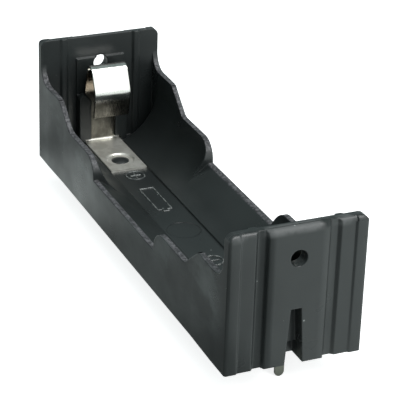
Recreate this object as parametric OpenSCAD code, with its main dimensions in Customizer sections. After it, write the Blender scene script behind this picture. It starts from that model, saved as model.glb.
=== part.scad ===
// Holder for one 18 mm x 65 mm cylindrical cell: a moulded housing with a
// cradle, and a leaf contact with a solder pin at each end.
// X runs along the cell, Y across it and Z is up.  The origin is the centre of
// the underside, the face that sits on the circuit board.
// The positive contact is at -X and the negative contact at +X.

/* [Cell] */
// Diameter of the cell
cell_diameter = 18.3; // [18:0.1:18.4]
// Clearance between the cell and the cradle, on the radius
cell_gap = 0.25; // [0.15:0.05:0.3]

/* [Housing] */
// Length over the two end walls
length = 77; // [76:0.5:80]
// Width over the two side faces
width = 20.6; // [20.5:0.1:21.5]
// Height of the end walls
height = 20.9; // [20.5:0.1:22]
// How far the side faces draw in between the end walls
waist = 0.14; // [0.05:0.01:0.2]
// Height of the floor strip under the cell
floor_height = 2.2; // [2.1:0.1:2.4]
// Width of the floor strip
floor_width = 6.4; // [6.3:0.1:6.8]
// Height of the cell's axis
axis_height = 11.3; // [11.2:0.1:11.6]

/* [Side walls] */
// Height of the low middle of each side wall
sill_height = 6.6; // [6.4:0.1:7.5]
// Length of the low middle
sill_length = 24.8; // [20:0.2:30]
// Height of the lower step
step_height = 10.1; // [9.5:0.1:10.8]
// Height of the upper step
shoulder_height = 13.9; // [13:0.05:14.5]
// Distance from the end face to the foot of the slope between the steps
slope_foot = 14.8; // [13:0.1:15]
// Angle of the slope between the steps
slope_angle = 38.8; // [35:0.1:42]
// Angle of the flared sides of the cradle at the low middle
flare_angle = 36.5; // [34:0.1:38]
// Thickness of the low wall at its top
sill_thickness = 0.7; // [0.6:0.05:0.8]

/* [End walls] */
// Thickness of each end wall
end_wall = 1.6; // [1.4:0.05:1.7]
// Width of the raised centre band
band_width = 8.8; // [8.6:0.1:9]
// Depth of the grooves beside the band
groove_depth = 0.65; // [0.5:0.05:0.7]
// Depth of the sunk panels between the grooves and the corner strips
panel_depth = 0.22; // [0.15:0.01:0.3]
// Width of each corner strip
strip_width = 1.7; // [1.5:0.1:1.8]
// Diameter of the hole through the band
hole_diameter = 2.5; // [2:0.1:2.6]
// Height of the hole's centre
hole_height = 16.15; // [15.5:0.05:16.2]
// Height of the slot in the foot of the band
slot_height = 8.5; // [8:0.1:9]
// Width of the slot at its top
slot_top_width = 1.58; // [1.4:0.02:1.8]
// Width of the slot at the underside
slot_foot_width = 2.7; // [2.4:0.05:2.8]

/* [Contacts] */
// Thickness of the strip
strip_thickness = 0.35; // [0.3:0.01:0.4]
// Width of the strip
contact_width = 6.2; // [6:0.1:6.3]
// Distance from the end face to the contact's leg
leg_inset = 2.4; // [2.3:0.05:2.5]
// Height of the top of the spring leaf
leaf_top = 16.95; // [16.5:0.05:17]
// Distance from the end face to the face that the cell touches
leaf_reach = 7.75; // [7.6:0.05:8]
// Height of the leaf's free end
leaf_end = 8.5; // [8:0.1:9]
// Distance from the end face to the end of the tongue on the floor
tongue_reach = 15.5; // [15:0.1:16]
// Distance from the end face to the rivet through the tongue
rivet_inset = 11.4; // [11.2:0.1:11.6]
// Distance from the end face to the solder pin
pin_inset = 4.1; // [4:0.1:4.3]
// Width of the solder pin
pin_width = 1.45; // [1.2:0.05:1.5]
// How far the solder pin reaches below the underside
pin_length = 4.2; // [3:0.1:5]

/* [Hidden] */
$fn = 96;
over = 1;                               // how far a cutter runs past a face
fit = 0.05;                             // clearance round the metal in the housing
half_length = length / 2;
half_width = width / 2;
bay_radius = cell_diameter / 2 + cell_gap;
strip_z = floor_height + strip_thickness;

// Housing
waist_start = 5;                        // from the end face to where the waist begins
waist_end = 12;                         // and to where it has its full depth
corner_radius = 0.35;                   // upright edges of the four corners
chamber_reach = 4;                      // from the end face to the end of the cradle
wall_rib_inner = 5.8;                   // upright ribs inside the end walls
wall_rib_outer = 6.9;
wall_rib_rise = 0.3;
wall_fillet = 1.9;                      // round bends of the side walls' top edge
post_fillet = 2.9;                      // round foot of each corner post
sill_fillet = 3.2;                      // round corner above the low middle
top_corner_radius = 1.2;                // top corners of the end walls, seen end on
band_edge_radius = 1.2;                 // top edge of the centre band
top_edge_radius = 0.75;                 // top edge of the panels and strips
pad_reach = 1.9;                        // from the end face to the pad behind the leaf
pad_height = 17.2;
block_half = 4.2;                       // half width of the pad and of the block below it
block_height = 10.8;
slot_depth = 2;                         // slot in the block, seen from outside
window_depth = 3.2;                     // its deeper foot, under the contact's bend
window_height = 2.4;
rib_reach = 3.4;                        // from the end face to the front of the ribs
rib_inner = 2.15;                       // from the middle to each rib's inner face
rib_height = 11.2;
core_floor = 1.3;                       // plastic between the cradle and the cores
core_inner = 3.6;                       // nearer side of each core, from the middle
core_wall = 1.4;                        // side wall outside the cores
core_end = 6;                           // from the end face to the first core
core_rib = 1.2;                         // ribs between the cores
cores = 4;                              // cores along each side
ejector_radius = 2.65;                  // ejector pin's mark in the middle of the floor
ejector_depth = 0.08;

// Contacts
bend_radius = 0.35 + strip_thickness / 2;    // foot, to the middle of the strip
lean_radius = 2;                        // where the leg leans into the leaf
crown_radius = 1.5 - strip_thickness / 2;
belly_radius = 3.5;
lean = 15;                              // leg's lean below the crown
fall = 25;                              // leaf's slope from the crown to the belly
tuck = 10;                              // free end's slope back to the wall
crown_inset = 5;                        // from the end face to the crown's centre
arc_step = 5;                           // angle of one facet of the rolled strip
rivet_radius = 1.05;                    // shank of the moulded rivet
rivet_head_radius = 1.45;
rivet_head = 0.3;                       // height of its head
rivet_dome = 4;                         // radius of its slightly domed top
dimple_radius = 2.1;                    // sunk seat round the rivet
dimple_depth = 0.28;
foot_reach = 8.5;                       // pin's hidden foot under the tongue
slit_gap = 0.15;                        // round the pin where it leaves the floor

// Point at angle a on a circle of radius r about c
function at(c, r, a) = [c[0] + r * cos(a), c[1] + r * sin(a)];

// Points of an arc about c from angle a to angle b
function arc(c, r, a, b) = let (n = ceil(abs(b - a) / arc_step))
    [for (i = [0:n]) at(c, r, a + (b - a) * i / n)];

function reversed(list) = [for (i = [len(list) - 1:-1:0]) list[i]];

module both_ends() {
    for (end = [0, 1]) mirror([end, 0, 0]) children();
}

module both_sides() {
    for (side = [0, 1]) mirror([0, side, 0]) children();
}

// Everything in the next two places a child at an end wall: x = 0 is the wall's
// outer face and x grows towards the cell
module at_end(end) {
    mirror([end > 0 ? 1 : 0, 0, 0]) translate([-half_length, 0, 0]) children();
}

module at_each_end() {
    for (end = [-1, 1]) at_end(end) children();
}

// Extrudes an XZ outline along Y from y = a to y = b
module along_y(a, b) {
    translate([0, b, 0]) rotate([90, 0, 0]) linear_extrude(b - a) children();
}

// Extrudes a YZ outline along X from x = a to x = b
module along_x(a, b) {
    translate([a, 0, 0]) rotate([90, 0, 90]) linear_extrude(b - a) children();
}

// Corner that a round of radius r takes off or fills in, between two straight
// edges that leave the corner at angles a and b
module fillet(corner, r, a, b) {
    reach = r / tan(abs(b - a) / 2);
    middle = (a + b) / 2;
    difference() {
        polygon([corner, at(corner, reach, a), at(corner, reach, b)]);
        translate(at(corner, r / sin(abs(b - a) / 2), middle)) circle(r);
    }
}

// Plan of the housing, drawn in a little between its ends
module plan() {
    side = half_width - waist;
    quarter = [
        [half_length - waist_end, side],
        [half_length - waist_start, half_width],
        [half_length, half_width],
        [half_length, -half_width],
        [half_length - waist_start, -half_width],
        [half_length - waist_end, -side],
    ];
    difference() {
        polygon(concat(quarter, [for (p = quarter) -p]));
        for (x = [-1, 1], y = [-1, 1]) scale([x, y]) fillet([half_length, half_width], corner_radius, 180, 270);
    }
}

// Air over the side walls: the stepped outline of one half, from the middle of
// the wall to the post at its end
module step_outline() {
    sill = sill_length / 2;
    foot = half_length - slope_foot;
    shoulder = foot + (shoulder_height - step_height) / tan(slope_angle);
    post = half_length - end_wall;
    air = height + over;
    difference() {
        union() {
            translate([-over, sill_height]) square([sill + over, air]);
            polygon([
                [0, step_height],
                [foot, step_height],
                [shoulder, shoulder_height],
                [post, shoulder_height],
                [post, air],
                [0, air],
            ]);
            intersection() {
                fillet([sill, step_height], sill_fillet, 270, 360);
                translate([0, sill_height]) square([half_length, air]);
            }
            fillet([shoulder, shoulder_height], wall_fillet, 180 + slope_angle, 360);
        }
        fillet([foot, step_height], wall_fillet, 180, slope_angle);
        fillet([post, shoulder_height], post_fillet, 90, 180);
    }
}

module plan_block() {
    linear_extrude(height) plan();
}

// The steps go through the whole cradle wall, but leave the end walls alone
module side_wall_steps() {
    both_sides() both_ends() {
        along_y(bay_radius, half_width + over) step_outline();
        along_y(0, half_width + over) intersection() {
            step_outline();
            translate([-over, 0]) square([half_length - chamber_reach + over, height + over]);
        }
    }
}

// Section of the cradle across the cell
module bay_outline() {
    difference() {
        translate([0, axis_height]) circle(bay_radius);
        translate([-bay_radius, 0]) square([2 * bay_radius, floor_height]);
    }
    translate([-bay_radius, axis_height]) square([2 * bay_radius, height]);
    translate([-floor_width / 2, floor_height]) square([floor_width, bay_radius]);
}

module bay() {
    reach = half_length - chamber_reach;
    along_x(-reach, reach) bay_outline();
}

// Straight flares that open the cradle at the low middle, tangent to its curve
module flare() {
    start = at([0, axis_height], bay_radius, flare_angle - 90);
    lip = half_width - waist - sill_thickness;
    rise = start[1] + (lip - start[0]) * tan(flare_angle);
    along_x(-sill_length / 2, sill_length / 2)
        polygon([start, [lip, rise], [lip, axis_height], [start[0], axis_height]]);
}

// Space round one contact, between the end wall and the cradle
module chamber() {
    rib = end_wall + wall_rib_rise;
    side = [
        [chamber_reach, bay_radius],
        [end_wall, bay_radius],
        [end_wall, wall_rib_outer + 0.15],
        [rib, wall_rib_outer - 0.15],
        [rib, wall_rib_inner + 0.15],
        [end_wall, wall_rib_inner - 0.15],
    ];
    translate([0, 0, floor_height]) linear_extrude(height)
        polygon(concat(side, [for (p = reversed(side)) [p[0], -p[1]]]));
}

// Grooves and sunk panels on the outside of an end wall, on the +Y side
module end_relief() {
    band = band_width / 2;
    strip = half_width - strip_width;
    translate([0, 0, -over]) linear_extrude(height + 2 * over) polygon([
        [-over, band],
        [0, band],
        [groove_depth, band + 0.35],
        [groove_depth, band + 1.45],
        [panel_depth, band + 1.9],
        [panel_depth, strip - 0.3],
        [0, strip],
        [-over, strip],
    ]);
}

// Rounds a top edge that runs along Y at depth x and height z
module edge_round(x, z, r, a, b) {
    along_y(a, b) difference() {
        translate([x - over, z - r]) square(r + over);
        translate([x + r, z - r]) circle(r);
        translate([x + r, z - r - over]) square([over, r + over]);
    }
}

module top_edges() {
    strip = half_width - strip_width;
    band = band_width / 2 + 0.2;
    edge_round(0, height, band_edge_radius, -band, band);
    both_sides() {
        edge_round(panel_depth, height, top_edge_radius, band, strip);
        edge_round(0, height, top_edge_radius, strip, half_width + over);
        along_x(-over, chamber_reach) fillet([half_width, height], top_corner_radius, 180, 270);
    }
}

// Pad and block behind a contact, with the two ribs that hold the margins of its
// leg
module contact_seat() {
    translate([end_wall / 2, -block_half, 0]) cube([pad_reach - end_wall / 2, 2 * block_half, pad_height]);
    translate([end_wall / 2, -block_half, 0])
        cube([leg_inset - end_wall / 2, 2 * block_half, block_height]);
    both_sides() along_x(leg_inset - 0.2, rib_reach) polygon([
        [rib_inner, floor_height - 0.2],
        [block_half, floor_height - 0.2],
        [block_half, rib_height - 0.6],
        [block_half - 0.6, rib_height],
        [rib_inner + 0.95, rib_height],
        [rib_inner, rib_height - 1.1],
    ]);
}

// Room in the seat and the floor for the metal of one contact
module contact_room() {
    side = contact_width / 2 + fit;
    room = bend_radius + 0.35;
    translate([leg_inset, -side, floor_height])
        cube([strip_thickness + fit, 2 * side, rib_height]);
    translate([leg_inset, -side, floor_height]) cube([rib_reach, 2 * side, room]);
    translate([rivet_inset, 0, floor_height - dimple_depth - 0.02])
        cylinder(r = dimple_radius + 0.42, h = over);
    pin_slit();
}

module pin_slit() {
    slit = pin_width / 2 + slit_gap;
    depth = strip_thickness / 2 + slit_gap;
    translate([pin_inset - depth, -slit, -over])
        cube([2 * depth, 2 * slit, floor_height + 2 * over]);
    translate([pin_inset, -pin_width / 2 - fit, floor_height - strip_thickness - fit])
        cube([foot_reach + fit - pin_inset, pin_width + 2 * fit, over]);
}

// Slot in the foot of the band, with its deeper window under the contact
module slot() {
    top = slot_top_width / 2;
    foot = slot_foot_width / 2;
    along_x(-over, slot_depth)
        polygon([[-foot, -over], [foot, -over], [foot, 0], [top, slot_height], [-top, slot_height], [-foot, 0]]);
    translate([slot_depth - 0.5, -foot, -over]) cube([window_depth + 0.5 - slot_depth, 2 * foot, window_height + over]);
}

// Rivet moulded on the floor and headed over the tongue
module rivet() {
    seat = strip_z - dimple_depth;
    translate([rivet_inset, 0, 0]) {
        translate([0, 0, floor_height - 1]) cylinder(r = rivet_radius, h = seat + 1.1 - floor_height);
        intersection() {
            translate([0, 0, seat]) cylinder(r = rivet_head_radius, h = rivet_head);
            translate([0, 0, seat + rivet_head - rivet_dome]) sphere(rivet_dome);
        }
    }
}

// Cores under one side of the cradle, which keep its floor an even thickness
module cores() {
    run = length - 2 * core_end;
    step = (run + core_rib) / cores;
    far = half_width - waist - core_wall;
    difference() {
        for (i = [0:cores - 1]) translate([i * step - run / 2, core_inner, -over])
            cube([step - core_rib, far - core_inner, axis_height]);
        translate([-half_length, 0, axis_height]) rotate([0, 90, 0])
            cylinder(r = bay_radius + core_floor, h = length);
    }
}

module housing() {
    color([0.16, 0.18, 0.18])
    difference() {
        union() {
            difference() {
                plan_block();
                side_wall_steps();
                bay();
                both_sides() flare();
                at_each_end() chamber();
                translate([0, 0, floor_height - ejector_depth])
                    cylinder(r = ejector_radius, h = over);
            }
            at_each_end() contact_seat();
        }
        at_each_end() {
            contact_room();
            slot();
            both_sides() end_relief();
            top_edges();
            translate([-over, 0, hole_height]) rotate([0, 90, 0])
                cylinder(d = hole_diameter, h = chamber_reach);
        }
        both_sides() cores();
    }
    color([0.16, 0.18, 0.18]) at_each_end() rivet();
}

// One side of the bent strip, offset by o from its middle: tongue, foot, leg,
// crown, belly and free end
function strip_side(o) =
    let (
        leg = leg_inset + strip_thickness / 2,
        floor_line = floor_height + strip_thickness / 2,
        crown = [crown_inset, leaf_top - strip_thickness / 2 - crown_radius],
        belly_x = leaf_reach - strip_thickness / 2 - belly_radius,
        rise = at(crown, crown_radius, 180 - lean),
        lean_z = rise[1] - lean_radius * sin(lean)
            - (rise[0] - leg - lean_radius * (1 - cos(lean))) / tan(lean),
        drop = at(crown, crown_radius, fall),
        belly_z = drop[1] - belly_radius * sin(fall)
            - (belly_x + belly_radius * cos(fall) - drop[0]) / tan(fall),
        tail = at([belly_x, belly_z], belly_radius + o, -tuck),
        tail_drop = tail[1] - leaf_end - o * sin(tuck)
    )
    concat(
        [[tongue_reach, floor_line - o]],
        arc([leg + bend_radius, floor_line + bend_radius], bend_radius + o, 270, 180),
        arc([leg + lean_radius, lean_z], lean_radius + o, 180, 180 - lean),
        arc(crown, crown_radius + o, 180 - lean, fall),
        arc([belly_x, belly_z], belly_radius + o, fall, -tuck),
        [tail - tail_drop * [tan(tuck), 1]]
    );

module strip() {
    half = strip_thickness / 2;
    along_y(-contact_width / 2, contact_width / 2)
        polygon(concat(strip_side(half), reversed(strip_side(-half))));
}

// Seat pressed down round the rivet hole: its underside, and the metal it lacks
module dimple_under() {
    lip = dimple_radius + 0.35;
    translate([rivet_inset, 0, floor_height - dimple_depth])
        cylinder(r1 = lip - dimple_depth, r2 = lip, h = dimple_depth);
    translate([rivet_inset, 0, floor_height]) cylinder(r = lip, h = strip_thickness / 2);
}

module dimple_top() {
    translate([rivet_inset, 0, strip_z - dimple_depth])
        cylinder(r1 = dimple_radius, r2 = dimple_radius + dimple_depth + 0.1, h = dimple_depth + 0.1);
    translate([rivet_inset, 0, 0]) cylinder(r = rivet_radius + fit, h = height);
}

// Flat pin with a round tip, and the foot that carries it under the tongue
module solder_pin() {
    half = pin_width / 2;
    along_x(pin_inset - strip_thickness / 2, pin_inset + strip_thickness / 2) {
        translate([-half, half - pin_length]) square([pin_width, pin_length - half + floor_height]);
        translate([0, half - pin_length]) circle(half);
    }
    translate([pin_inset, -half, floor_height - strip_thickness])
        cube([foot_reach - pin_inset, pin_width, strip_thickness]);
}

module contact() {
    difference() {
        union() {
            strip();
            dimple_under();
            solder_pin();
        }
        dimple_top();
    }
}

module contact_positive() {
    color([0.86, 0.86, 0.83]) at_end(-1) contact();
}

module contact_negative() {
    color([0.86, 0.86, 0.83]) at_end(1) contact();
}

housing();
contact_positive();
contact_negative();
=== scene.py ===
"""Looks for the cylindrical cell holder: a black moulded housing with two nickel-plated leaf contacts.

The row frame is used throughout, in metres: X along the cell, Y across it and Z up, with the origin in the middle of
the underside.  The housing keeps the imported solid.  Each contact is the same bent strip again as one smooth surface,
with the small rounds and the drawn grain of real strip.  The rest is raised marks, finishes, light and the camera.
"""
import math

import bpy
import numpy as np
from mathutils import Matrix, Vector

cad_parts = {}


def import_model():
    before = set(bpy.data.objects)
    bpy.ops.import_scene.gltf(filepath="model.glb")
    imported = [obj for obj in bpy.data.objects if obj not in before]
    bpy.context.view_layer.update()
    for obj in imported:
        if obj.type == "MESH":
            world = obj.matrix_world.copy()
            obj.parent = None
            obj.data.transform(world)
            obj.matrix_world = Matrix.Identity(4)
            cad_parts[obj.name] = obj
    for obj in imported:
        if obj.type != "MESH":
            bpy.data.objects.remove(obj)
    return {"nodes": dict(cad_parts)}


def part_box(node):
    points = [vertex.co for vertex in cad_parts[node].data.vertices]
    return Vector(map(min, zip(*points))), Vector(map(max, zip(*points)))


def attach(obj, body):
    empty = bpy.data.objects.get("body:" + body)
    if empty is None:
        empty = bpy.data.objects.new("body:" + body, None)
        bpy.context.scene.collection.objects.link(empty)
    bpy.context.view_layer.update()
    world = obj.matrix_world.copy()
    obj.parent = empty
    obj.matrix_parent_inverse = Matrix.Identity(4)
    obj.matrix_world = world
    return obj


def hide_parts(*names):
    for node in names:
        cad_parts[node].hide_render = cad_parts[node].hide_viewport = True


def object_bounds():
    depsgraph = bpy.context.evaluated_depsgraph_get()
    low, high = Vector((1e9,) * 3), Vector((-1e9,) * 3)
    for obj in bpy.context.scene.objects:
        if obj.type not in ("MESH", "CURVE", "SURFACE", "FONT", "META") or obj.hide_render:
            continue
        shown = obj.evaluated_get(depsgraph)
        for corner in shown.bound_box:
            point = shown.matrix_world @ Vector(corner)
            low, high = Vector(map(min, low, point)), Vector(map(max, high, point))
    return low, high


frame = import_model()
cad_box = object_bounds()
MM = 0.001
housing_low, housing_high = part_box("housing")
HALF_LENGTH = housing_high.x / MM

# sizes of the row, in millimetres; an inset is measured from the end face inwards
FLOOR = 2.2             # height of the floor strip
THICK = 0.35            # thickness of the contact strip
STRIP_WIDTH = 6.2       # width of the leaf and tongue
TONGUE_INSET = 15.5     # tip of the tongue
LEG_INSET = 2.4         # back of the leg
RIVET_INSET = 11.4      # middle of the rivet
CROWN_INSET = 5.0       # middle of the crown's bend
CROWN_TOP = 16.95       # height of the crown
BELLY_INSET = 7.75      # foremost point of the belly
LEAF_END = 8.5          # height of the leaf's free end
PIN_INSET = 4.1
PIN_WIDTH = 1.45
PIN_TIP = -4.2          # height of the pin's tip
PIN_FOOT_INSET = 8.5    # where the pin's foot starts under the tongue


# ------------------------------------------------------------------ nodes
class Nodes:
    """A small helper that adds and links the nodes of one material."""

    def __init__(self, name):
        self.material = bpy.data.materials.new(name)
        self.material.use_nodes = True
        self.tree = self.material.node_tree
        self.shader = self.tree.nodes["Principled BSDF"]

    def add(self, kind, **values):
        """A node of one kind; keywords set its properties."""
        node = self.tree.nodes.new(kind)
        for key, value in values.items():
            setattr(node, key, value)
        return node

    def link(self, output, target):
        self.tree.links.new(output, target)

    def axes(self, vector):
        """The three parts of a vector."""
        split = self.add("ShaderNodeSeparateXYZ")
        self.link(vector, split.inputs["Vector"])
        return split.outputs["X"], split.outputs["Y"], split.outputs["Z"]

    def point(self):
        return self.add("ShaderNodeTexCoord").outputs["Object"]

    def stretched(self, vector, scale):
        mapping = self.add("ShaderNodeMapping")
        mapping.inputs["Scale"].default_value = scale
        self.link(vector, mapping.inputs["Vector"])
        return mapping.outputs["Vector"]

    def noise(self, vector, scale, detail=3.0, roughness=0.5):
        """Noise of about one feature per 1/scale metres."""
        node = self.add("ShaderNodeTexNoise")
        node.inputs["Scale"].default_value = scale
        node.inputs["Detail"].default_value = detail
        node.inputs["Roughness"].default_value = roughness
        self.link(vector, node.inputs["Vector"])
        return node.outputs["Fac"]

    def cells(self, vector, scale):
        """Distance to the nearest of scattered points."""
        node = self.add("ShaderNodeTexVoronoi")
        node.inputs["Scale"].default_value = scale
        self.link(vector, node.inputs["Vector"])
        return node.outputs["Distance"]

    def step(self, value, low, high, to_low=0.0, to_high=1.0):
        """Maps low..high smoothly to to_low..to_high."""
        node = self.add("ShaderNodeMapRange", interpolation_type="SMOOTHSTEP")
        for name, number in (("From Min", low), ("From Max", high), ("To Min", to_low), ("To Max", to_high)):
            node.inputs[name].default_value = number
        self.link(value, node.inputs["Value"])
        return node.outputs["Result"]

    def math(self, operation, a, b=0.0):
        node = self.add("ShaderNodeMath", operation=operation)
        for value, slot in ((a, 0), (b, 1)):
            if isinstance(value, (int, float)):
                node.inputs[slot].default_value = value
            else:
                self.link(value, node.inputs[slot])
        return node.outputs["Value"]

    def times(self, first, *others):
        for other in others:
            first = self.math("MULTIPLY", first, other)
        return first

    def mix(self, factor, a, b):
        """Mixes two colours, each a tuple or an output."""
        node = self.add("ShaderNodeMix", data_type="RGBA")
        self.link(factor, node.inputs["Factor"])
        for value, slot in ((a, 6), (b, 7)):
            if isinstance(value, tuple):
                node.inputs[slot].default_value = (*value, 1)
            else:
                self.link(value, node.inputs[slot])
        return node.outputs[2]

    def bump(self, height, strength, distance, normal=None):
        node = self.add("ShaderNodeBump")
        node.inputs["Strength"].default_value = strength
        node.inputs["Distance"].default_value = distance
        self.link(height, node.inputs["Height"])
        if normal:
            self.link(normal, node.inputs["Normal"])
        return node.outputs["Normal"]


def moulded_plastic():
    """Black moulding with a green-grey cast: satin skin with slow ripples, dust, matt speckled top edges, pale patches
    on the outer sides that are a painted reflection, and scuffs on the end walls' top edges that are partly a painted
    highlight.
    """
    n = Nodes("housing_plastic_black")
    point = n.point()
    x, y, z = n.axes(point)
    upward = n.axes(n.add("ShaderNodeNewGeometry").outputs["Normal"])[2]
    wide = n.math("ABSOLUTE", y)
    reach = n.math("ABSOLUTE", x)

    # skin
    cloud = n.noise(point, 90, 2)
    colour = n.mix(n.step(cloud, 0.3, 0.7), (0.017, 0.020, 0.020), (0.024, 0.028, 0.028))
    rough = n.step(n.noise(point, 160, 3), 0.3, 0.7, 0.27, 0.36)

    # tops of the side walls, where the mould halves meet: dull, greyer and speckled
    top = n.times(n.step(upward, 0.35, 0.75), n.step(wide, 9.15 * MM, 9.35 * MM),
                  n.step(reach, 37 * MM, 36.8 * MM))
    fleck = n.step(n.noise(point, 1900, 3, 0.7), 0.42, 0.62)
    colour = n.mix(n.math("MULTIPLY", top, 0.9), colour, n.mix(fleck, (0.045, 0.044, 0.048), (0.16, 0.155, 0.165)))
    rough = n.math("ADD", rough, n.math("MULTIPLY", top, 0.3))

    # painted reflection on the outer sides: pale cloudy patches stand in for the soft light they reflect, stronger
    # towards their top edges
    side_painted_reflection = n.times(n.step(n.noise(n.stretched(point, (1, 1, 1.6)), 110, 4, 0.65), 0.44, 0.62),
                   n.step(wide, 9.9 * MM, 10.0 * MM), n.step(reach, 37.6 * MM, 34 * MM),
                   n.step(z, 4 * MM, 8 * MM, 0.25, 0.85))
    colour = n.mix(side_painted_reflection, colour, (0.075, 0.085, 0.084))

    # scuffs along the top edges of the end walls: the paler blotches are partly wear and partly a painted highlight on
    # their rounds
    scuff_and_highlight = n.times(n.step(z, 19.5 * MM, 20.3 * MM), n.step(reach, 37.0 * MM, 37.3 * MM),
                    n.step(n.noise(point, 260, 3, 0.6), 0.38, 0.62), 0.75)
    colour = n.mix(scuff_and_highlight, colour, (0.105, 0.11, 0.11))
    rough = n.math("ADD", rough, n.math("MULTIPLY", scuff_and_highlight, 0.2))

    # sparse dust
    speck = n.times(n.step(n.cells(point, 520), 0.085, 0.04), n.step(n.noise(point, 700, 1), 0.59, 0.64))
    colour = n.mix(speck, colour, (0.30, 0.32, 0.31))
    rough = n.math("ADD", rough, n.math("MULTIPLY", speck, 0.4))
    n.link(colour, n.shader.inputs["Base Color"])
    n.link(rough, n.shader.inputs["Roughness"])
    n.shader.inputs["IOR"].default_value = 1.5

    # rounded edges, slow ripples and fine grain; on the end faces the band's long sides fall off and each corner
    # strip is slightly domed
    edges = n.add("ShaderNodeBevel", samples=8)
    edges.inputs["Radius"].default_value = 0.3 * MM
    fall = n.step(wide, 3.3 * MM, 6.0 * MM, 0.62 * MM, 0)
    across = n.math("DIVIDE", n.math("SUBTRACT", wide, 9.3 * MM), 1.0 * MM)
    dome = n.math("MAXIMUM", n.math("SUBTRACT", 1, n.math("MULTIPLY", across, across)), 0)
    shape = n.math("ADD", fall, n.math("MULTIPLY", dome, 0.05 * MM))
    shaped = n.bump(n.times(shape, n.step(reach, 37.6 * MM, 37.7 * MM)), 1, 1, edges.outputs["Normal"])
    ripple = n.bump(n.noise(point, 120, 1), 0.34, 0.0006, shaped)
    grain = n.bump(n.noise(point, 2600, 4, 0.6), 0.08, 0.00003, ripple)
    n.link(grain, n.shader.inputs["Normal"])
    return n.material


def rubbed_and_glinting_plastic():
    """The same moulding where raised marks are rubbed: smoother, and paler partly from wear and partly as a painted
    highlight on the ridges.
    """
    n = Nodes("housing_plastic_rubbed_painted_glint")
    wear_and_glint = n.noise(n.point(), 900, 2)
    # paler colour: partly wear, partly a painted highlight on the ridges
    n.link(n.mix(n.step(wear_and_glint, 0.4, 0.6), (0.07, 0.077, 0.077), (0.20, 0.21, 0.205)), n.shader.inputs["Base Color"])
    n.link(n.step(wear_and_glint, 0.3, 0.7, 0.16, 0.3), n.shader.inputs["Roughness"])
    return n.material


def nickel_strip():
    """Nickel-plated spring strip, drawn along its length: bright crown, a duller strip below it darkened with painted
    shade, a pale duller tongue, solder-dipped pins.
    """
    n = Nodes("contact_nickel_bright")
    point = n.point()
    x, _, z = n.axes(point)
    drawn = n.noise(n.stretched(point, (0.1, 1, 0.1)), 1400, 4, 0.65)
    blotch = n.noise(point, 420, 3, 0.6)

    # where each finish and painted shade lies: below the polished crown (duller, and painted dark as shade), on the
    # tongue, up the leg behind the crown (painted shade with a brown tint), and on the dipped pin
    dulled_and_shaded = n.step(z, 12.6 * MM, 11.0 * MM)
    flat = n.step(z, 3.0 * MM, 2.7 * MM)
    leg = n.times(n.step(n.math("ABSOLUTE", x), 34.3 * MM, 34.7 * MM), n.step(z, 15.8 * MM, 14.8 * MM))
    dipped = n.step(z, -0.1 * MM, -0.5 * MM)

    bright = n.mix(n.step(drawn, 0.3, 0.7), (0.66, 0.65, 0.61), (0.80, 0.79, 0.76))
    # painted shade: below the crown the strip gets a dark colour for the shade it lies in; the tongue keeps a pale
    # duller finish
    lower_metal_with_painted_shade = n.mix(n.step(blotch, 0.35, 0.65), (0.07, 0.067, 0.058), (0.125, 0.12, 0.105))
    lower_metal_with_painted_shade = n.mix(flat, lower_metal_with_painted_shade, n.mix(n.step(blotch, 0.4, 0.6), (0.80, 0.78, 0.71), (0.97, 0.95, 0.88)))
    # painted shade: the leg behind the crown is darkened to a brown-tinted grey
    colour = n.mix(n.math("MULTIPLY", leg, 0.9), bright, (0.17, 0.13, 0.09))
    n.link(n.mix(dipped, n.mix(dulled_and_shaded, colour, lower_metal_with_painted_shade), (0.23, 0.235, 0.20)), n.shader.inputs["Base Color"])
    n.link(n.math("SUBTRACT", 1, n.math("MULTIPLY", flat, 0.25)), n.shader.inputs["Metallic"])
    rough = n.math("ADD", n.step(drawn, 0.25, 0.75, 0.12, 0.22), n.math("MULTIPLY", dulled_and_shaded, 0.12))
    rough = n.math("ADD", rough, n.math("MULTIPLY", flat, 0.10))
    n.link(n.math("ADD", rough, n.math("MULTIPLY", dipped, 0.05)), n.shader.inputs["Roughness"])
    scuffs = n.bump(blotch, 0.35, 0.00006)
    n.link(n.bump(drawn, 0.10, 0.00002, scuffs), n.shader.inputs["Normal"])
    return n.material


# ------------------------------------------------------------------ surfaces
def link(obj):
    bpy.context.scene.collection.objects.link(obj)
    return obj


def turned_out(points, faces):
    """Faces turned so that the closed surface's volume is positive."""
    volume = 0.0
    for face in faces:
        a = points[face[0]]
        for second, third in zip(face[1:-1], face[2:]):
            volume += float(np.dot(a, np.cross(points[second], points[third])))
    return faces if volume > 0 else [tuple(reversed(face)) for face in faces]


def tube(loops):
    """Points and faces of a closed surface through loops[k, j], with both end loops filled."""
    rows, count = loops.shape[:2]
    index = np.arange(rows * count).reshape(rows, count)
    ahead = np.roll(index, -1, axis=1)
    quads = np.stack([index[:-1], ahead[:-1], ahead[1:], index[1:]], -1).reshape(-1, 4)
    faces = [tuple(q) for q in quads.tolist()] + [tuple(index[0][::-1].tolist()), tuple(index[-1].tolist())]
    points = loops.reshape(-1, 3)
    return points, turned_out(points, faces)


def piece(name, surfaces, material):
    """One object from several closed surfaces in millimetres, with its finish."""
    points, faces = [], []
    for own_points, own_faces in surfaces:
        start = sum(len(p) for p in points)
        points.append(own_points)
        faces += [tuple(start + i for i in face) for face in own_faces]
    mesh = bpy.data.meshes.new(name)
    mesh.from_pydata((np.concatenate(points) * MM).tolist(), [], faces)
    mesh.polygons.foreach_set("use_smooth", [len(face) == 4 for face in faces])
    mesh.set_sharp_from_angle(angle=math.radians(40))
    mesh.materials.append(material)
    obj = link(bpy.data.objects.new(name, mesh))
    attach(obj, "root")
    return obj


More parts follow.
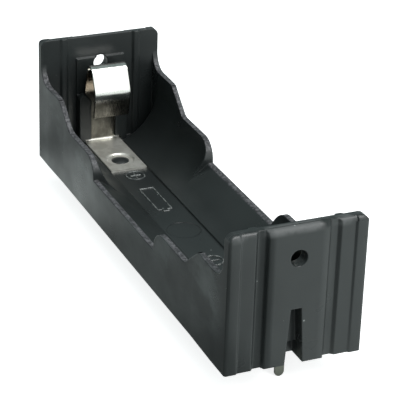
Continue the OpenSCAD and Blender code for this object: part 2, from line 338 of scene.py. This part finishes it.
def rounded_section(half_width, half_thick, round_off, across):
    """Loop (w, o) round a rectangle 2 half_width x 2 half_thick with rounded corners, `across` points on each side."""
    loop = []
    for side in (1, -1):
        w = np.linspace(-side, side, across) * (half_width - round_off)
        loop += [(v, side * half_thick) for v in w]
        for turn in np.radians([30, 60, 90]):
            loop.append((side * (half_width - round_off + round_off * math.sin(turn)),
                         side * (half_thick - round_off + round_off * math.cos(turn))))
        loop.append((side * half_width, -side * (half_thick - round_off)))
    return np.array(loop)


def leaf_path():
    """Middle line of the bent strip: points (inset from the end face, height) and outward angles in radians.

    Tongue, foot bend of radius 0.525, leg, a lean of 15 degrees, crown of radius 1.325, a fall of 25 degrees, belly of
    radius 3.5, and the free end tucked back by 10 degrees.  On an arc the point is centre + r (cos a, sin a).
    """
    half = THICK / 2
    foot_r, lean_r, crown_r, belly_r = 0.525, 2, 1.325, 3.5
    leg, line = LEG_INSET + half, FLOOR + half
    lean, fall, tuck = np.radians([15, 25, 10])
    crown = np.array([CROWN_INSET, CROWN_TOP - half - crown_r])
    rise = crown + crown_r * np.array([-math.cos(lean), math.sin(lean)])
    lean_z = rise[1] - lean_r * math.sin(lean) - (rise[0] - leg - lean_r * (1 - math.cos(lean))) / math.tan(lean)
    drop = crown + crown_r * np.array([math.cos(fall), math.sin(fall)])
    belly_x = BELLY_INSET - half - belly_r
    belly_z = drop[1] - belly_r * math.sin(fall) - (belly_x + belly_r * math.cos(fall) - drop[0]) / math.tan(fall)
    tail = np.array([belly_x + belly_r * math.cos(tuck), belly_z - belly_r * math.sin(tuck)])
    end = tail - (tail[1] - LEAF_END) * np.array([math.tan(tuck), 1])
    points, angles = [], []

    def run(a, b, angle, spacing):
        count = max(2, int(np.hypot(*(np.subtract(b, a))) / spacing))
        for t in np.arange(count) / count:
            points.append(np.add(a, t * np.subtract(b, a)))
            angles.append(angle)

    def bend(centre, radius, start, stop, spacing=0.09):
        count = max(6, int(abs(math.radians(stop - start)) * radius / spacing))
        for angle in np.linspace(start, stop, count, endpoint=False):
            turn = math.radians(angle)
            points.append(np.add(centre, radius * np.array([math.cos(turn), math.sin(turn)])))
            angles.append(angle)

    foot = (leg + foot_r, line + foot_r)
    run((TONGUE_INSET, line), (foot[0], line), 270, 0.08)
    bend(foot, foot_r, 270, 180, 0.05)
    run((leg, foot[1]), (leg, lean_z), 180, 0.5)
    bend((leg + lean_r, lean_z), lean_r, 180, 165)
    run((leg + lean_r - lean_r * math.cos(lean), lean_z + lean_r * math.sin(lean)), rise, 165, 0.5)
    bend(crown, crown_r, 165, 25, 0.06)
    run(drop, (belly_x + belly_r * math.cos(fall), belly_z + belly_r * math.sin(fall)), 25, 0.4)
    bend((belly_x, belly_z), belly_r, 25, -10)
    run(tail, end, -10, 0.2)
    points.append(end)
    angles.append(-10)
    return np.array(points), np.radians(angles)


def strip_surface(end):
    """The strip swept along its middle line: point = middle + o (cos a, sin a), with w across it.

    Round the rivet the tongue sinks by 0.28, with a slope from radius 2.45 in to 2.1.
    """
    middle, angle = leaf_path()
    section = rounded_section(STRIP_WIDTH / 2, THICK / 2, 0.07, 76)
    w, o = section[:, 0], section[:, 1]
    inset = middle[:, 0, None] + o * np.cos(angle)[:, None]
    height = middle[:, 1, None] + o * np.sin(angle)[:, None]
    radius = np.hypot(inset - RIVET_INSET, w[None, :])
    sunk = 0.5 - 0.5 * np.cos(np.pi * np.clip((2.45 - radius) / 0.35, 0, 1))
    height = height - 0.28 * sunk * (angle[:, None] > 4.6)
    loops = np.stack([end * (HALF_LENGTH - inset), np.broadcast_to(w, inset.shape), height], -1)
    return tube(loops)


def pin_surface(end):
    """Foot under the tongue and flat pin: a narrow strip bent down through a quarter circle of radius 0.2.

    Its half width is PIN_WIDTH / 2 down to the tip, which is a half circle: sqrt(r^2 - (r - height above tip)^2).
    """
    half, half_width, bend_r, top = THICK / 2, PIN_WIDTH / 2, 0.2, FLOOR - THICK / 2
    path = [(PIN_FOOT_INSET - 0.25 * k, top, 90) for k in range(17)]
    path += [(PIN_INSET + bend_r - bend_r * math.sin(t), top - bend_r + bend_r * math.cos(t), 90 + math.degrees(t))
             for t in np.radians([0, 30, 60, 90])]
    body = np.linspace(top - 0.5, half_width + PIN_TIP, 14)
    tip = PIN_TIP + half_width * (1 - np.sin(np.radians(np.linspace(0, 88, 16))))
    path += [(PIN_INSET, z, 180) for z in np.concatenate([body, tip[1:]])]
    loops = []
    for x, z, angle in path:
        above = z - PIN_TIP
        width = half_width if above > half_width else math.sqrt(half_width ** 2 - (half_width - above) ** 2)
        section = rounded_section(width, half, min(0.06, width / 3), 8)
        turn = math.radians(angle)
        loops.append([(end * (HALF_LENGTH - x - o * math.cos(turn)), w, z + o * math.sin(turn)) for w, o in section])
    return tube(np.array(loops))


# ------------------------------------------------------------------ raised marks on the floor strip
def ridge(path, closed=False, width=0.26, rise=0.16):
    """A low rounded ridge along a flat path (x, y): its section is a half ellipse width x rise, sunk a little."""
    path = np.array(path, float)
    if closed:
        ahead, behind = np.roll(path, -1, axis=0), np.roll(path, 1, axis=0)
    else:
        ahead = np.vstack([path[1:], path[-1:]])
        behind = np.vstack([path[:1], path[:-1]])
    along = ahead - behind
    along /= np.linalg.norm(along, axis=1, keepdims=True)
    side = np.stack([-along[:, 1], along[:, 0]], -1)
    turn = np.radians(np.linspace(0, 180, 9))
    profile = [(width / 2 * math.cos(t), rise * math.sin(t)) for t in turn] + [(-width / 2, -0.05), (width / 2, -0.05)]
    loops = np.array([[(*(p + w * s), FLOOR + h) for w, h in profile] for p, s in zip(path, side)])
    if not closed:
        return tube(loops)
    rows, count = loops.shape[:2]
    index = np.arange(rows * count).reshape(rows, count)
    over, ahead = np.roll(index, -1, axis=0), np.roll(index, -1, axis=1)
    quads = np.stack([index, ahead, np.roll(ahead, -1, axis=0), over], -1).reshape(-1, 4)
    points = loops.reshape(-1, 3)
    return points, turned_out(points, [tuple(q) for q in quads.tolist()])


def circle(x, y, radius, count=48):
    """Points x + r cos t, y + r sin t once round."""
    return [(x + radius * math.cos(t), y + radius * math.sin(t)) for t in np.arange(count) * 2 * math.pi / count]


def bar(x, y, half_x, half_y):
    """A short straight path through its middle."""
    return [(x - half_x, y - half_y), (x, y), (x + half_x, y + half_y)]


def polarity_marks():
    """A ringed plus, a plain outline of a cell and a ringed minus, moulded proud of the floor strip."""
    plus, minus, off, ring, arm = -20.8, 10.9, 0.2, 1.5, 0.85
    outline = [(-15.6, -1.15), (-7.6, -1.15), (-7.6, -0.45), (-7.0, -0.45), (-7.0, 0.45), (-7.6, 0.45), (-7.6, 1.15),
               (-15.6, 1.15)]
    sides = [ridge(np.linspace(a, b, 5)) for a, b in zip(outline, outline[1:] + outline[:1])]
    return [ridge(circle(plus, off, ring), True), ridge(bar(plus, off, arm, 0)), ridge(bar(plus, off, 0, arm)),
            ridge(circle(minus, off, ring), True), ridge(bar(minus, off, 0, arm))] + sides


plastic = moulded_plastic()
nickel = nickel_strip()
housing = frame["nodes"]["housing"].data
housing.materials.clear()
housing.materials.append(plastic)
for node, end in (("contact_positive", -1), ("contact_negative", 1)):
    strip = piece(node + "_strip", [strip_surface(end), pin_surface(end)], nickel)
    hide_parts(node)
piece("floor_marks", polarity_marks(), rubbed_and_glinting_plastic())


# ------------------------------------------------------------------ light, floor and camera
def floor():
    """A pale floor at the pins' tips that shows white to the camera and keeps a soft shadow.

    In reflections it glows as a painted reflection: bright before the end wall and close along the left side, and
    falling off farther out.
    """
    size = 4.0
    mesh = bpy.data.meshes.new("floor")
    corners = [(-size, -size), (size, -size), (size, size), (-size, size)]
    mesh.from_pydata([(x, y, cad_box[0][2]) for x, y in corners], [], [(0, 1, 2, 3)])
    n = Nodes("floor_white")
    x, y, _ = n.axes(n.point())
    diffuse = n.add("ShaderNodeBsdfDiffuse")
    diffuse.inputs["Color"].default_value = (0.85, 0.85, 0.85, 1)
    white = n.add("ShaderNodeEmission")
    white.inputs["Strength"].default_value = 0.82
    seen = n.add("ShaderNodeAddShader")
    n.link(white.outputs[0], seen.inputs[0])
    n.link(diffuse.outputs[0], seen.inputs[1])

    # painted reflection: how brightly each part of the floor glows in reflections, before the end wall and beside the
    # left side wall, with a pool and a streak beside it
    front = n.step(x, 31 * MM, 42 * MM)
    before = n.math("ADD", n.step(y, -6 * MM, 4 * MM, 0.3, 1.1), n.step(y, 20 * MM, 38 * MM, 0, 0.2))
    pool = n.times(n.step(x, -12 * MM, -30 * MM), n.step(x, -54 * MM, -40 * MM), n.step(y, -22 * MM, -17 * MM), 0.62)
    streak = n.times(n.step(y, -18 * MM, -20.5 * MM), n.step(y, -24 * MM, -21.5 * MM), n.step(x, 22 * MM, 12 * MM),
                     n.step(x, -16 * MM, -4 * MM), 0.1)
    beside = n.math("ADD", n.step(x, 8 * MM, 26 * MM, 0.28, 0.14), n.step(x, -50 * MM, -62 * MM, 0, 0.25))
    beside = n.math("ADD", beside, n.math("ADD", pool, streak))
    level = n.math("ADD", n.times(front, before), n.times(n.math("SUBTRACT", 1, front), beside))

    painted_reflection_glow = n.add("ShaderNodeEmission")
    painted_reflection_glow.inputs["Color"].default_value = (0.91, 1, 0.985, 1)
    n.link(level, painted_reflection_glow.inputs["Strength"])
    ray = n.add("ShaderNodeLightPath")
    to_camera = n.add("ShaderNodeMixShader")
    n.link(ray.outputs["Is Camera Ray"], to_camera.inputs["Fac"])
    n.link(diffuse.outputs[0], to_camera.inputs[1])
    n.link(seen.outputs[0], to_camera.inputs[2])
    to_gloss = n.add("ShaderNodeMixShader")
    n.link(ray.outputs["Is Glossy Ray"], to_gloss.inputs["Fac"])
    n.link(to_camera.outputs[0], to_gloss.inputs[1])
    n.link(painted_reflection_glow.outputs[0], to_gloss.inputs[2])
    n.link(to_gloss.outputs[0], n.tree.nodes["Material Output"].inputs["Surface"])
    mesh.materials.append(n.material)
    link(bpy.data.objects.new("floor", mesh))


def softbox(name, place, target, size, radiance):
    """An area lamp at place, aimed at target; radiance is how bright its face looks."""
    data = bpy.data.lights.new(name, "AREA")
    data.shape = "RECTANGLE"
    data.size, data.size_y = size
    data.energy = radiance * math.pi * size[0] * size[1]
    lamp = link(bpy.data.objects.new(name, data))
    lamp.location = place
    lamp.rotation_euler = (Vector(target) - Vector(place)).to_track_quat("-Z", "Y").to_euler()


def camera():
    """A long lens from the negative end, looking down along the holder's left side."""
    turn, down, roll = math.radians(-65.89), math.radians(25.63), math.radians(1.91)
    ahead = Vector((math.sin(turn) * math.cos(down), math.cos(turn) * math.cos(down), -math.sin(down)))
    right = ahead.cross(Vector((0, 0, 1))).normalized()
    up = right.cross(ahead)
    across = math.cos(roll) * right + math.sin(roll) * up
    upward = -math.sin(roll) * right + math.cos(roll) * up
    data = bpy.data.cameras.new("camera")
    data.sensor_width = 36
    data.lens = 163.86
    data.clip_start = 0.01
    eye = link(bpy.data.objects.new("camera", data))
    eye.matrix_world = Matrix.Translation(Vector((228.5, -99.72, 126.97)) * MM) @ Matrix((
        (across.x, upward.x, -ahead.x), (across.y, upward.y, -ahead.y), (across.z, upward.z, -ahead.z))).to_4x4()
    bpy.context.scene.camera = eye


def world():
    """Dim, even surroundings, white where the camera sees them."""
    surroundings = bpy.data.worlds.new("studio")
    bpy.context.scene.world = surroundings
    surroundings.use_nodes = True
    tree = surroundings.node_tree
    background = tree.nodes["Background"]
    background.inputs["Color"].default_value = (0.80, 1, 1, 1)
    background.inputs["Strength"].default_value = 0.3
    white = tree.nodes.new("ShaderNodeBackground")
    white.inputs["Color"].default_value = (1, 1, 1, 1)
    ray = tree.nodes.new("ShaderNodeLightPath")
    seen = tree.nodes.new("ShaderNodeMixShader")
    tree.links.new(ray.outputs["Is Camera Ray"], seen.inputs["Fac"])
    tree.links.new(background.outputs[0], seen.inputs[1])
    tree.links.new(white.outputs[0], seen.inputs[2])
    tree.links.new(seen.outputs[0], tree.nodes["World Output"].inputs["Surface"])


floor()
world()
softbox("key_softbox", (0.28, 0.16, 0.50), (0, 0, 0.01), (0.36, 0.40), 5.4)
softbox("front_softbox", (0.58, 0.24, 0.22), (0, 0, 0.01), (0.60, 0.42), 1.35)
softbox("top_softbox", (-0.15, -0.10, 0.6), (0, 0, 0), (0.4, 0.4), 0.9)
camera()
bpy.context.scene.view_settings.view_transform = "Standard"
